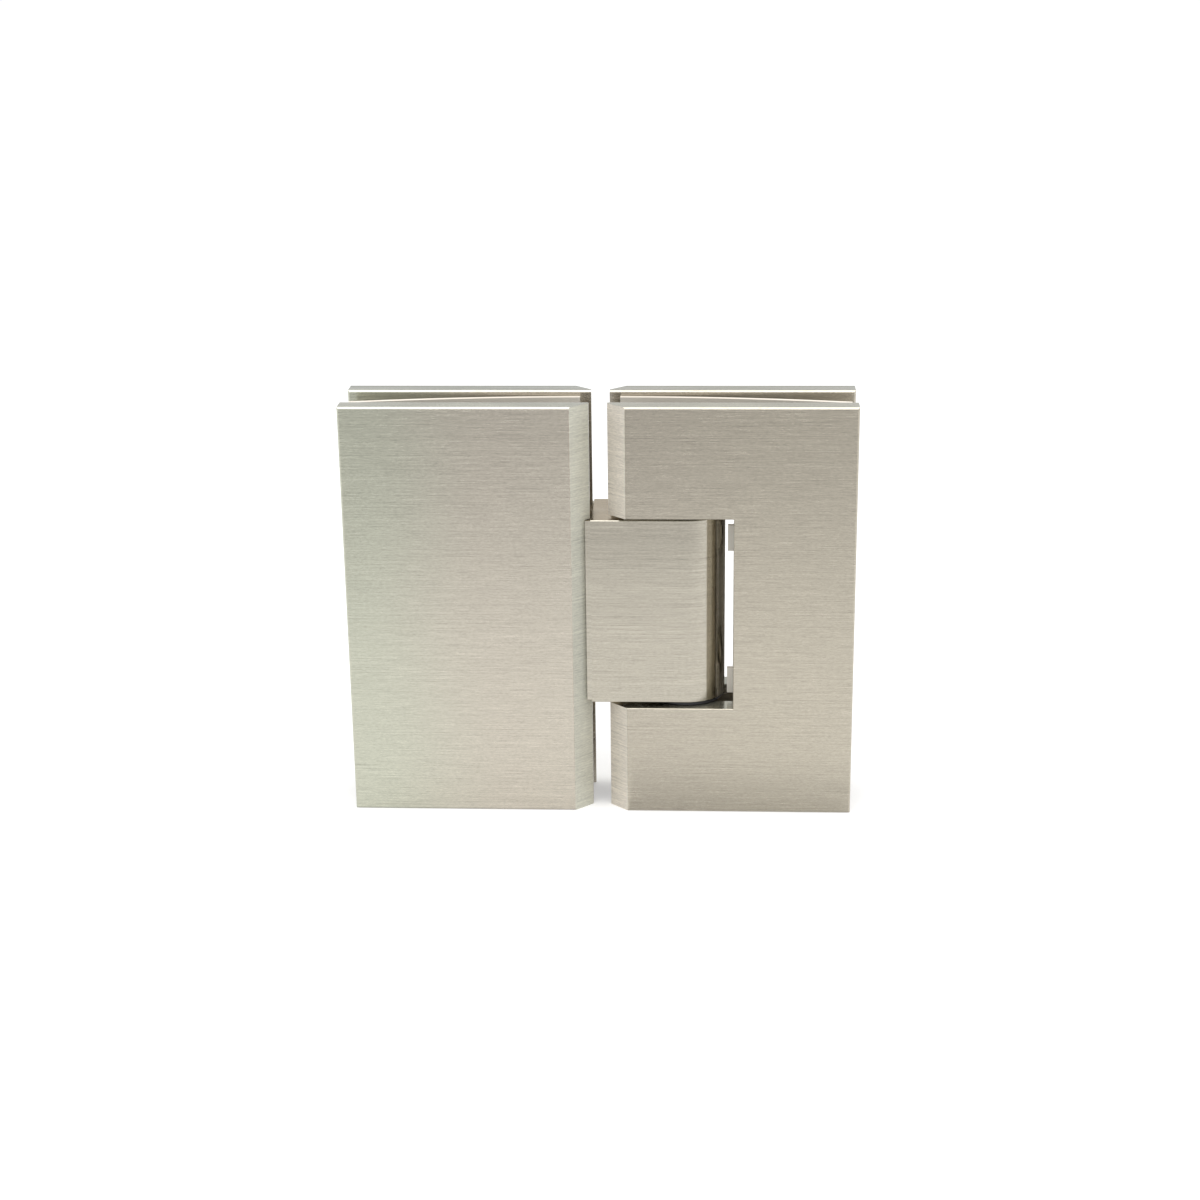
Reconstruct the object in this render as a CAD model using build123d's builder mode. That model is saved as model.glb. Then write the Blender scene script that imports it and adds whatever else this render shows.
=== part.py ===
"""Glass-to-glass shower door hinge: two clamping leaves that turn about a hidden, sprung pivot.

X runs across the leaves, Y from the front to the rear and Z up, in millimetres. The origin lies under
the middle of the gap between the leaves, halfway through the depth, at the plates' bottom edges.
"""

import os

from build123d import *

os.makedirs("parts", exist_ok=True)

# Leaves: two plates each, with a slot for the glass between them
height = 90.0
leaf_width = 51.8
leaf_gap = 3.9
plate_thickness = 4.8
slot_width = 10.2
bevel_width = 3.8
bevel_depth = 3.7
edge_break = 0.35
notch_break = 0.12

# Knuckle: a block with a half-round end, a neck seated in the left plates and a tongue between them
pin_offset = 18.3
knuckle_depth = 16.5
knuckle_height = 40.7
knuckle_break = 0.15
knuckle_end_gap = 0.75
knuckle_side_gap = 1.8
shoulder_gap = 0.15
neck_width = 0.95
neck_recess = 0.7
neck_drop = 0.3
seat_clearance = 0.1
tongue_length = 16.0
tongue_height = 36.0
tongue_corner = 3.0

# Pivot pin, its bushes and its thrust washers
pin_diameter = 11.0
pin_reach = 9.9
pin_chamfer = 0.6
pin_flat_clearance = 0.05
pin_bore_clearance = 0.25
bush_wall = 1.1
bush_length = 7.0
bush_press_clearance = 0.02
running_clearance = 0.08
washer_width = 2.2
washer_thickness = 0.55
washer_bore_clearance = 0.2

# Self-centring plungers, their springs and the plugs behind them
detent_depth = 0.4
detent_length = 8.0
plunger_rise = 6.0
plunger_diameter = 6.8
plunger_length = 9.0
plunger_chamfer = 0.7
plunger_tip_gap = 0.1
plunger_clearance = 0.1
spigot_diameter = 3.2
spigot_length = 3.0
spring_diameter = 6.4
spring_wire = 1.0
spring_turns = 5.0
spring_wire_sides = 8
spring_end_gap = 0.05
plug_diameter = 8.0
plug_length = 6.0
plug_recess = 0.3
plug_adjustment = 1.5
plug_key = 4.0
plug_key_depth = 3.0

# Countersunk socket screws, all driven from the rear
clamp_screw_inset = 35.0
clamp_screw_rise = 14.0
clamp_screw_diameter = 6.0
clamp_head_diameter = 11.4
clamp_key = 4.0
boss_diameter = 10.0
boss_gap = 1.2
small_screw_diameter = 5.0
small_head_diameter = 9.4
small_key = 3.0
knuckle_screw_inset = 9.0
knuckle_screw_rise = 14.0
pin_screw_inset = 5.0
plate_thread_depth = 2.9
tongue_thread_depth = 7.5
thread_clearance = 0.05
thread_end_gap = 0.3
screw_hole_clearance = 0.2
screw_point = 0.5
head_recess = 0.15
head_clearance = 0.05
key_depth = 2.2

# Gaskets: loose sheets that lean across the slot and have slid down to the plates' bottom edges
gasket_thickness = 1.2
gasket_margin = 0.6
gasket_drop = 0.55
gasket_hinge_margin = 2.3
gasket_outer_margin = 1.0
gasket_seat_gap = 0.15
gasket_lean = 1.5
gasket_clearance = 0.8
tab_rise = 16.0
tab_height = 5.6
tab_reach = 1.3
tab_root = 1.2

# Sides, faces and ends as signs along X, Y and Z
LEFT, RIGHT = -1, 1
FRONT, REAR = -1, 1
LOWER, UPPER = -1, 1

# Places that follow from the sizes above
mid_z = height / 2
hinge_edge = leaf_gap / 2
outer_edge = hinge_edge + leaf_width
inner_face = slot_width / 2
outer_face = inner_face + plate_thickness
knuckle_radius = knuckle_depth / 2
knuckle_left = shoulder_gap - hinge_edge
neck_left = -hinge_edge - neck_width
neck_height = knuckle_height - 2 * neck_drop
tongue_left = neck_left - tongue_length
notch_height = knuckle_height + 2 * knuckle_end_gap
notch_wall = pin_offset + knuckle_radius + knuckle_side_gap
pin_radius = pin_diameter / 2
pin_length = notch_height + 2 * pin_reach
detent_width = pin_diameter - 2 * detent_depth
bush_radius = pin_radius + running_clearance + bush_wall
plunger_tip = pin_offset - pin_radius - plunger_tip_gap
plunger_back = plunger_tip - plunger_length
plug_outer_face = tongue_left + plug_recess
plug_inner_face = plug_outer_face + plug_length
boss_height = slot_width - boss_gap
gasket_height = height - 2 * gasket_margin
gasket_bottom = gasket_margin - gasket_drop
knuckle_screw_x = -hinge_edge - knuckle_screw_inset
knuckle_spots = [(knuckle_screw_x, mid_z + end * knuckle_screw_rise) for end in (LOWER, UPPER)]
pin_screw_rise = pin_length / 2 - pin_screw_inset
pin_spots = [(pin_offset, mid_z + end * pin_screw_rise) for end in (LOWER, UPPER)]


def clamp_spots(side):
    """Give the (x, z) places of a leaf's two clamp screws."""
    x = side * (hinge_edge + clamp_screw_inset)
    return [(x, mid_z + end * clamp_screw_rise) for end in (LOWER, UPPER)]


def leaf_plate(side, face, cut_depth, cut_height):
    """Make a plate with its bevelled hinge edge, its broken edges and the cut-out for the knuckle."""
    with BuildPart() as plate:
        with BuildSketch():
            with BuildLine():
                Polyline(
                    (side * hinge_edge, face * inner_face),
                    (side * hinge_edge, face * (outer_face - bevel_depth)),
                    (side * (hinge_edge + bevel_width), face * outer_face),
                    (side * outer_edge, face * outer_face),
                    (side * outer_edge, face * inner_face),
                    close=True,
                )
            make_face()
        extrude(amount=height)
        long_edges = plate.edges().filter_by(Axis.X)
        outer_edges = plate.edges().filter_by(Axis.Z).group_by(Axis.X)[-1 if side == RIGHT else 0]
        chamfer(long_edges + outer_edges, edge_break)
        with BuildSketch(Plane.XZ):
            with Locations((side * hinge_edge, mid_z)):
                Rectangle(2 * cut_depth, cut_height)
        extrude(amount=outer_face, both=True, mode=Mode.SUBTRACT)
    return plate.part


def break_notch_edges(plate, face):
    """Break the edges of a door plate's notch on its outer face."""
    outer = plate.faces().sort_by(Axis.Y)[-1 if face == REAR else 0]
    floor, ceiling = mid_z - notch_height / 2, mid_z + notch_height / 2
    notch_edges = outer.edges().filter_by_position(Axis.Z, floor, ceiling)
    chamfer(notch_edges.filter_by_position(Axis.X, hinge_edge, notch_wall), notch_break)


def tapped_holes(spots, diameter, top):
    """Cut blind screw holes into a front plate, from the given height over its inner face."""
    with BuildSketch(Plane.XZ.offset(inner_face - top)) as holes:
        with Locations(*spots):
            Circle(diameter / 2 + thread_clearance)
    extrude(holes.sketch, amount=top + plate_thread_depth + thread_end_gap, mode=Mode.SUBTRACT)


def clamp_bosses(side):
    """Raise the two tapped bosses of a front plate towards its rear plate."""
    with BuildSketch(Plane.XZ.offset(inner_face)) as bosses:
        with Locations(*clamp_spots(side)):
            Circle(boss_diameter / 2)
    extrude(bosses.sketch, amount=-boss_height)
    tapped_holes(clamp_spots(side), clamp_screw_diameter, boss_height)


def countersunk_holes(spots, screw_diameter, head_diameter):
    """Cut countersunk clearance holes into a rear plate, from its outer face."""
    with Locations(*[Plane((x, outer_face, z), x_dir=(1, 0, 0), z_dir=(0, 1, 0)) for x, z in spots]):
        CounterSinkHole(
            radius=screw_diameter / 2 + screw_hole_clearance,
            counter_sink_radius=head_diameter / 2 + head_recess + head_clearance,
            counter_sink_angle=90,
        )


def countersunk_screws(spots, screw_diameter, head_diameter, key, tip):
    """Make a group of countersunk socket screws, from the rear face to the given Y."""
    head_face = outer_face - head_recess
    head_height = (head_diameter - screw_diameter) / 2
    from_head = (Align.CENTER, Align.CENTER, Align.MIN)
    with BuildPart() as screws:
        with Locations(*[Plane((x, head_face, z), x_dir=(1, 0, 0), z_dir=(0, -1, 0)) for x, z in spots]):
            Cylinder(screw_diameter / 2, head_face - tip, align=from_head)
            Cone(head_diameter / 2, screw_diameter / 2, head_height, align=from_head)
        chamfer(screws.edges().filter_by(GeomType.CIRCLE).group_by(Axis.Y)[0], screw_point)
        with BuildSketch(Plane.XZ.offset(-head_face)):
            with Locations(*spots):
                RegularPolygon(key / 2, side_count=6, major_radius=False)
        extrude(amount=key_depth, mode=Mode.SUBTRACT)
    return screws


def gasket(side, face, cut_x, cut_height, tabs=False):
    """Make a gasket that lies on its plate at one end and leans off it at the other.

    Front gaskets lean off at the hinge edge and rear ones at the outer edge. A cut-out clears the knuckle
    or its tongue, and tabs, where there are any, reach from the cut-out's wall into the plate's notch.
    """
    hinge_x = side * (hinge_edge + gasket_hinge_margin)
    outer_x = side * (outer_edge - gasket_outer_margin)
    seated_x, free_x = (outer_x, hinge_x) if face == FRONT else (hinge_x, outer_x)
    seated_y = face * (inner_face - gasket_seat_gap)
    free_y = seated_y - face * gasket_lean
    along = (1 if free_x > seated_x else -1, 0)
    through = face * gasket_thickness
    with BuildPart() as sheet:
        with BuildSketch(Plane.XY.offset(gasket_bottom)):
            with BuildLine():
                near = TangentArc((seated_x, seated_y), (free_x, free_y), tangent=along)
                far = TangentArc((seated_x, seated_y - through), (free_x, free_y - through), tangent=along)
                Line(near @ 0, far @ 0)
                Line(near @ 1, far @ 1)
            make_face()
        extrude(amount=gasket_height)
        with BuildSketch(Plane.XZ):
            with Locations((0, mid_z - gasket_drop)):
                Rectangle(2 * cut_x, cut_height)
            if tabs:
                with Locations(*[(cut_x, mid_z - gasket_drop + end * tab_rise) for end in (LOWER, UPPER)]):
                    Rectangle(2 * (tab_root + tab_reach), tab_height, mode=Mode.SUBTRACT)
            with Locations(*clamp_spots(side)):
                Circle(boss_diameter / 2 + gasket_clearance)
        extrude(amount=outer_face, both=True, mode=Mode.SUBTRACT)
    return sheet


# Fixed leaf
with BuildPart() as left_front_plate:
    add(leaf_plate(LEFT, FRONT, neck_width, neck_height + 2 * seat_clearance))
    clamp_bosses(LEFT)

with BuildPart() as left_rear_plate:
    add(leaf_plate(LEFT, REAR, neck_width, neck_height + 2 * seat_clearance))
    countersunk_holes(clamp_spots(LEFT), clamp_screw_diameter, clamp_head_diameter)
    countersunk_holes(knuckle_spots, small_screw_diameter, small_head_diameter)

left_cut_x = -tongue_left + gasket_clearance
left_cut_height = tongue_height + 2 * (gasket_clearance + gasket_drop)
left_front_gasket = gasket(LEFT, FRONT, left_cut_x, left_cut_height)
left_rear_gasket = gasket(LEFT, REAR, left_cut_x, left_cut_height)

with BuildPart() as knuckle:
    with BuildSketch(Plane.XY.offset(mid_z - knuckle_height / 2)):
        with BuildLine():
            front_side = Line((knuckle_left, -knuckle_radius), (pin_offset, -knuckle_radius))
            round_end = TangentArc(front_side @ 1, (pin_offset, knuckle_radius), tangent=front_side % 1)
            rear_side = Line(round_end @ 1, (knuckle_left, knuckle_radius))
            Line(rear_side @ 1, front_side @ 0)
        make_face()
    extrude(amount=knuckle_height)
    ends = knuckle.faces().filter_by(Axis.Z)
    chamfer(ends.edges(), knuckle_break)
    # Neck and tongue
    with BuildSketch(Plane.YZ.offset(neck_left)):
        with Locations((0, mid_z)):
            Rectangle(knuckle_depth - 2 * neck_recess, neck_height)
    extrude(amount=knuckle_left - neck_left)
    with BuildSketch(Plane.YZ.offset(tongue_left)):
        with Locations((0, mid_z)):
            Rectangle(slot_width, tongue_height)
    extrude(amount=tongue_length)
    fillet(knuckle.edges().filter_by(Axis.Y).group_by(Axis.X)[0], tongue_corner)
    # Bore of the pin, with a seat for a bush at each end
    with Locations((pin_offset, 0, mid_z)):
        Hole(pin_radius + pin_bore_clearance)
    for end in (LOWER, UPPER):
        with BuildSketch(Plane.XY.offset(mid_z + end * knuckle_height / 2)):
            with Locations((pin_offset, 0)):
                Circle(bush_radius + bush_press_clearance)
        extrude(amount=-end * bush_length, mode=Mode.SUBTRACT)
    # Bores of the plungers, with tapped mouths for the plugs
    bore_spots = [(0, mid_z + end * plunger_rise) for end in (LOWER, UPPER)]
    with BuildSketch(Plane.YZ.offset(tongue_left)):
        with Locations(*bore_spots):
            Circle(plunger_diameter / 2 + plunger_clearance)
    extrude(amount=pin_offset - tongue_left, mode=Mode.SUBTRACT)
    with BuildSketch(Plane.YZ.offset(tongue_left)):
        with Locations(*bore_spots):
            Circle(plug_diameter / 2 + thread_clearance)
    extrude(amount=plug_recess + plug_length + plug_adjustment, mode=Mode.SUBTRACT)
    # Tapped holes of the screws that hold the tongue
    with BuildSketch(Plane.XZ.offset(-inner_face)):
        with Locations(*knuckle_spots):
            Circle(small_screw_diameter / 2 + thread_clearance)
    extrude(amount=tongue_thread_depth + thread_end_gap, mode=Mode.SUBTRACT)

left_clamp_screws = countersunk_screws(
    clamp_spots(LEFT), clamp_screw_diameter, clamp_head_diameter, clamp_key, -inner_face - plate_thread_depth
)
knuckle_screws = countersunk_screws(
    knuckle_spots, small_screw_diameter, small_head_diameter, small_key, inner_face - tongue_thread_depth
)

with BuildPart() as spring_plugs:
    with BuildSketch(Plane.YZ.offset(plug_outer_face)):
        with Locations(*bore_spots):
            Circle(plug_diameter / 2)
    extrude(amount=plug_length)
    with BuildSketch(Plane.YZ.offset(plug_outer_face)):
        with Locations(*bore_spots):
            RegularPolygon(plug_key / 2, side_count=6, major_radius=False)
    extrude(amount=plug_key_depth, mode=Mode.SUBTRACT)


def bush(end):
    """Make a plain bush, flush with one end of the knuckle."""
    with BuildPart() as sleeve:
        with BuildSketch(Plane.XY.offset(mid_z + end * knuckle_height / 2)):
            with Locations((pin_offset, 0)):
                Circle(bush_radius)
                Circle(pin_radius + running_clearance, mode=Mode.SUBTRACT)
        extrude(amount=-end * bush_length)
    return sleeve


def plunger(end):
    """Make a plunger, drawn back by its detent's depth, with a spigot inside its spring."""
    with BuildPart() as slider:
        with BuildSketch(Plane.YZ.offset(plunger_back)):
            with Locations((0, mid_z + end * plunger_rise)):
                Circle(plunger_diameter / 2)
        extrude(amount=plunger_length)
        chamfer(slider.edges().group_by(Axis.X)[-1], plunger_chamfer)
        with BuildSketch(Plane.YZ.offset(plunger_back)):
            with Locations((0, mid_z + end * plunger_rise)):
                Circle(spigot_diameter / 2)
        extrude(amount=-spigot_length)
    return slider


def spring(end):
    """Make a coil spring that stands between a plug and its plunger, of wire with a few plain sides."""
    coil_radius = (spring_diameter - spring_wire) / 2
    coil_length = plunger_back - plug_inner_face - spring_wire - 2 * spring_end_gap
    foot = (plug_inner_face + spring_end_gap + spring_wire / 2, 0, mid_z + end * plunger_rise)
    pitch = coil_length / spring_turns
    with BuildPart() as coil:
        with BuildLine():
            turns = Helix(pitch, coil_length, coil_radius, center=foot, direction=(1, 0, 0))
        with BuildSketch(Plane(turns @ 0, z_dir=turns % 0)):
            RegularPolygon(spring_wire / 2, side_count=spring_wire_sides)
        sweep(is_frenet=True)
    return coil


# Door leaf
with BuildPart() as right_front_plate:
    add(leaf_plate(RIGHT, FRONT, notch_wall - hinge_edge, notch_height))
    break_notch_edges(right_front_plate, FRONT)
    clamp_bosses(RIGHT)
    tapped_holes(pin_spots, small_screw_diameter, 0)

with BuildPart() as right_rear_plate:
    add(leaf_plate(RIGHT, REAR, notch_wall - hinge_edge, notch_height))
    break_notch_edges(right_rear_plate, REAR)
    countersunk_holes(clamp_spots(RIGHT), clamp_screw_diameter, clamp_head_diameter)
    countersunk_holes(pin_spots, small_screw_diameter, small_head_diameter)

right_cut_x = notch_wall + tab_root
right_cut_height = pin_length + 2 * (gasket_clearance + gasket_drop)
right_front_gasket = gasket(RIGHT, FRONT, right_cut_x, right_cut_height, tabs=True)
right_rear_gasket = gasket(RIGHT, REAR, right_cut_x, right_cut_height)

with BuildPart() as pivot_pin:
    with BuildSketch(Plane.XY.offset(mid_z - pin_length / 2)):
        with Locations((pin_offset, 0)):
            Circle(pin_radius)
    extrude(amount=pin_length)
    chamfer(pivot_pin.edges().filter_by(GeomType.CIRCLE), pin_chamfer)
    for end in (LOWER, UPPER):
        # Flats that the two door plates hold, from halfway across the knuckle's end gap
        with BuildSketch(Plane.XY.offset(mid_z + end * (knuckle_height + knuckle_end_gap) / 2)):
            with Locations((pin_offset, 0)):
                Circle(pin_diameter)
                Rectangle(2 * pin_diameter, slot_width - 2 * pin_flat_clearance, mode=Mode.SUBTRACT)
        extrude(amount=end * pin_length, mode=Mode.SUBTRACT)
        # Four shallow flats that a plunger finds when the door is closed or open at a right angle
        with BuildSketch(Plane.XY.offset(mid_z + end * plunger_rise - detent_length / 2)):
            with Locations((pin_offset, 0)):
                Circle(pin_diameter)
                Rectangle(detent_width, detent_width, mode=Mode.SUBTRACT)
        extrude(amount=detent_length, mode=Mode.SUBTRACT)
    with BuildSketch(Plane.XZ):
        with Locations(*pin_spots):
            Circle(small_screw_diameter / 2 + screw_hole_clearance)
    extrude(amount=pin_diameter, both=True, mode=Mode.SUBTRACT)

right_clamp_screws = countersunk_screws(
    clamp_spots(RIGHT), clamp_screw_diameter, clamp_head_diameter, clamp_key, -inner_face - plate_thread_depth
)
pin_screws = countersunk_screws(
    pin_spots, small_screw_diameter, small_head_diameter, small_key, -inner_face - plate_thread_depth
)


def thrust_washer(end):
    """Make a washer in the middle of the gap between the knuckle and an end of the notch."""
    middle = mid_z + end * (knuckle_height + knuckle_end_gap) / 2
    with BuildPart() as washer:
        with BuildSketch(Plane.XY.offset(middle - washer_thickness / 2)):
            with Locations((pin_offset, 0)):
                Circle(pin_radius + washer_bore_clearance + washer_width)
                Circle(pin_radius + washer_bore_clearance, mode=Mode.SUBTRACT)
        extrude(amount=washer_thickness)
    return washer


pieces = {
    "left_front_plate": left_front_plate,
    "left_rear_plate": left_rear_plate,
    "left_front_gasket": left_front_gasket,
    "left_rear_gasket": left_rear_gasket,
    "knuckle": knuckle,
    "left_clamp_screws": left_clamp_screws,
    "knuckle_screws": knuckle_screws,
    "spring_plugs": spring_plugs,
    "upper_bush": bush(UPPER),
    "lower_bush": bush(LOWER),
    "upper_spring": spring(UPPER),
    "lower_spring": spring(LOWER),
    "upper_plunger": plunger(UPPER),
    "lower_plunger": plunger(LOWER),
    "right_front_plate": right_front_plate,
    "right_rear_plate": right_rear_plate,
    "right_front_gasket": right_front_gasket,
    "right_rear_gasket": right_rear_gasket,
    "pivot_pin": pivot_pin,
    "pin_screws": pin_screws,
    "right_clamp_screws": right_clamp_screws,
    "upper_thrust_washer": thrust_washer(UPPER),
    "lower_thrust_washer": thrust_washer(LOWER),
}
for label, piece in pieces.items():
    piece.part.label = label
    export_step(piece.part, f"parts/{label}.step")
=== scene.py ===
"""Looks of a glass-to-glass shower door hinge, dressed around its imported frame.

The plates, the knuckle, the pin, the bushes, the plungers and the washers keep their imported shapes
and get a finish. The gaskets, the screws, the plugs and the springs are worked out here as fine
surfaces that stand for their plain solids. Everything is in metres: X runs across the leaves, Y
from the front to the rear and Z up.
"""

import logging
import math
from dataclasses import dataclass, replace
from enum import Enum
from typing import Any, List, Mapping, Optional, Sequence, Tuple, Union

import bpy
import numpy as np
from mathutils import Matrix, Vector


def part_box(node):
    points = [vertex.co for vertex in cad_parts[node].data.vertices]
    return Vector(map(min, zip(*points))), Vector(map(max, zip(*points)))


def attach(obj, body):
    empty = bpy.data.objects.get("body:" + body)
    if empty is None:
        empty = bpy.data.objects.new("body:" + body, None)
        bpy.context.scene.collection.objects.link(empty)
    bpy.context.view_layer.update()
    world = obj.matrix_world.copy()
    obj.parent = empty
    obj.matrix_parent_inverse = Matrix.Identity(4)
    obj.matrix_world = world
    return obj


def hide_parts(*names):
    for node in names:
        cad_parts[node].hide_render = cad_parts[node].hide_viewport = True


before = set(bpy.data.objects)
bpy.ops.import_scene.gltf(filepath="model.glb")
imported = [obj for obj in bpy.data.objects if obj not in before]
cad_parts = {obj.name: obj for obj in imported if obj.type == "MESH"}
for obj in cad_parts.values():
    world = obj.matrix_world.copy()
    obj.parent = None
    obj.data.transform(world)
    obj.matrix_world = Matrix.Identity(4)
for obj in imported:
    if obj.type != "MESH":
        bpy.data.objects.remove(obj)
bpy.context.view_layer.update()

LOG = logging.getLogger("hinge")
MM = 0.001
FULL_TURN = 2.0 * math.pi
BOTH_WAYS = (-1, 1)
NOISE_MIDDLE = 0.5

Colour = Tuple[float, float, float]
Point = Tuple[float, float, float]
Span = Tuple[float, float]
Key = Union[int, str]
Scalar = Union["Socket", float]

WHITE: Colour = (1.0, 1.0, 1.0)


class Side(Enum):
    """A leaf's side of the hinge, as a sign along X."""

    LEFT = -1
    RIGHT = 1


class Face(Enum):
    """A plate's face of the hinge, as a sign along Y."""

    FRONT = -1
    REAR = 1


class Body(Enum):
    """The bodies that carry the new pieces."""

    FIXED_LEAF = "fixed_leaf"
    DOOR_LEAF = "door_leaf"


class Axis(Enum):
    """The way that a turned piece's point looks."""

    ALONG_X = 0
    AGAINST_Y = 1


class Socket:
    """An output socket of a graph's node, whose arithmetic adds Math nodes."""

    def __init__(self, graph: "Graph", output: Optional[bpy.types.NodeSocket]) -> None:
        """Hold the socket and the graph that it belongs to."""
        self.graph = graph
        self.output = output

    def other(self, key: Key) -> "Socket":
        """Give another output of the same node."""
        return Socket(self.graph, self.output.node.outputs[key])

    def maths(self, operation: str, *terms: Scalar) -> "Socket":
        """Add one Math node on the given terms."""
        return self.graph.node("ShaderNodeMath", {"operation": operation}, dict(enumerate(terms)))

    def __add__(self, term: Scalar) -> "Socket":
        """Add a term."""
        return self.maths("ADD", self, term)

    __radd__ = __add__

    def __sub__(self, term: Scalar) -> "Socket":
        """Take a term away."""
        return self.maths("SUBTRACT", self, term)

    def __rsub__(self, term: Scalar) -> "Socket":
        """Take this value away from a term."""
        return self.maths("SUBTRACT", term, self)

    def __mul__(self, term: Scalar) -> "Socket":
        """Multiply by a term."""
        return self.maths("MULTIPLY", self, term)

    __rmul__ = __mul__

    def __truediv__(self, term: Scalar) -> "Socket":
        """Divide by a term."""
        return self.maths("DIVIDE", self, term)

    def __rtruediv__(self, term: Scalar) -> "Socket":
        """Divide a term by this value."""
        return self.maths("DIVIDE", term, self)

    def __abs__(self) -> "Socket":
        """Drop the sign."""
        return self.maths("ABSOLUTE", self)

    def __gt__(self, term: Scalar) -> "Socket":
        """Give 1 where this value is larger than the term and 0 elsewhere."""
        return self.maths("GREATER_THAN", self, term)

    def step(self, low: float, high: float) -> "Socket":
        """Rise smoothly from 0 at the low value to 1 at the high one."""
        sockets = {0: self, "From Min": low, "From Max": high}
        return self.graph.node("ShaderNodeMapRange", {"interpolation_type": "SMOOTHSTEP"}, sockets)


class Graph:
    """The nodes of a material or of the world, which one method adds."""

    def __init__(self, owner: Union[bpy.types.Material, bpy.types.World]) -> None:
        """Start with no nodes.

        Args:
            owner: the material or the world.
        """
        owner.use_nodes = True
        self.owner = owner
        self.tree = owner.node_tree
        self.tree.nodes.clear()

    def node(
        self,
        kind: str,
        settings: Optional[Mapping[str, Any]] = None,
        sockets: Optional[Mapping[Key, Any]] = None,
        output: Key = 0,
    ) -> Socket:
        """Add any node.

        Args:
            kind: the node's type.
            settings: the node's own choices, which are set first.
            sockets: a value or a linked socket for each input, by name or number.
            output: the output to give back.

        Returns:
            That output, or an empty socket where the node has none.
        """
        node = self.tree.nodes.new(kind)
        for name, value in (settings or {}).items():
            setattr(node, name, value)
        for key, value in (sockets or {}).items():
            if isinstance(value, Socket):
                self.tree.links.new(value.output, node.inputs[key])
            else:
                node.inputs[key].default_value = value
        return Socket(self, node.outputs[output] if node.outputs else None)

    def spot(self) -> Socket:
        """Give the place on the piece as a vector, in metres."""
        return self.node("ShaderNodeTexCoord", output="Object")

    def place(self) -> Socket:
        """Give the X coordinate on the piece, in metres; Y and Z are its other outputs."""
        return self.node("ShaderNodeSeparateXYZ", sockets={0: self.spot()}, output="X")

    def facing_up(self) -> Socket:
        """Give how far a face looks up or down, from 0 on a wall to 1 on a top."""
        normal = self.node("ShaderNodeNewGeometry", output="Normal")
        return abs(self.node("ShaderNodeSeparateXYZ", sockets={0: normal}, output="Z"))

    def vector(self, x: Scalar, y: Scalar, z: Scalar) -> Socket:
        """Join three values into a vector."""
        return self.node("ShaderNodeCombineXYZ", sockets={0: x, 1: y, 2: z})

    def noise(
        self, spot: Socket, scale: float = 1.0, detail: float = 1.0, rough: float = 0.5
    ) -> Socket:
        """Give fractal noise from 0 to 1 at a spot."""
        sockets = {"Vector": spot, "Scale": scale, "Detail": detail, "Roughness": rough}
        return self.node("ShaderNodeTexNoise", {"noise_dimensions": "3D"}, sockets)

    def blend(self, share: Scalar, first: Any, second: Any, way: str = "MIX") -> Socket:
        """Mix two colours by a share from 0 to 1."""
        settings = {"data_type": "RGBA", "blend_type": way, "clamp_factor": True}
        return self.node("ShaderNodeMix", settings, {0: share, 6: first, 7: second}, output=2)

    def bump(self, height: Socket, distance: float, strength: float) -> Socket:
        """Turn a height from 0 to 1, over a distance in metres, into a normal."""
        sockets = {"Height": height, "Distance": distance, "Strength": strength}
        return self.node("ShaderNodeBump", sockets=sockets)

    def close_material(self, sockets: Mapping[Key, Any]) -> bpy.types.Material:
        """End a material's nodes with one Principled shader.

        Args:
            sockets: the shader's values and links, by name.

        Returns:
            The material.
        """
        shader = self.node("ShaderNodeBsdfPrincipled", sockets=sockets)
        self.node("ShaderNodeOutputMaterial", sockets={"Surface": shader})
        return self.owner


def opaque(colour: Colour) -> Tuple[float, float, float, float]:
    """Add full opacity to a colour."""
    return (*colour, 1.0)


def darker(colour: Colour, share: float) -> Tuple[float, float, float, float]:
    """Keep a share of a colour's light, at full opacity."""
    return opaque(tuple(channel * share for channel in colour))


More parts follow.
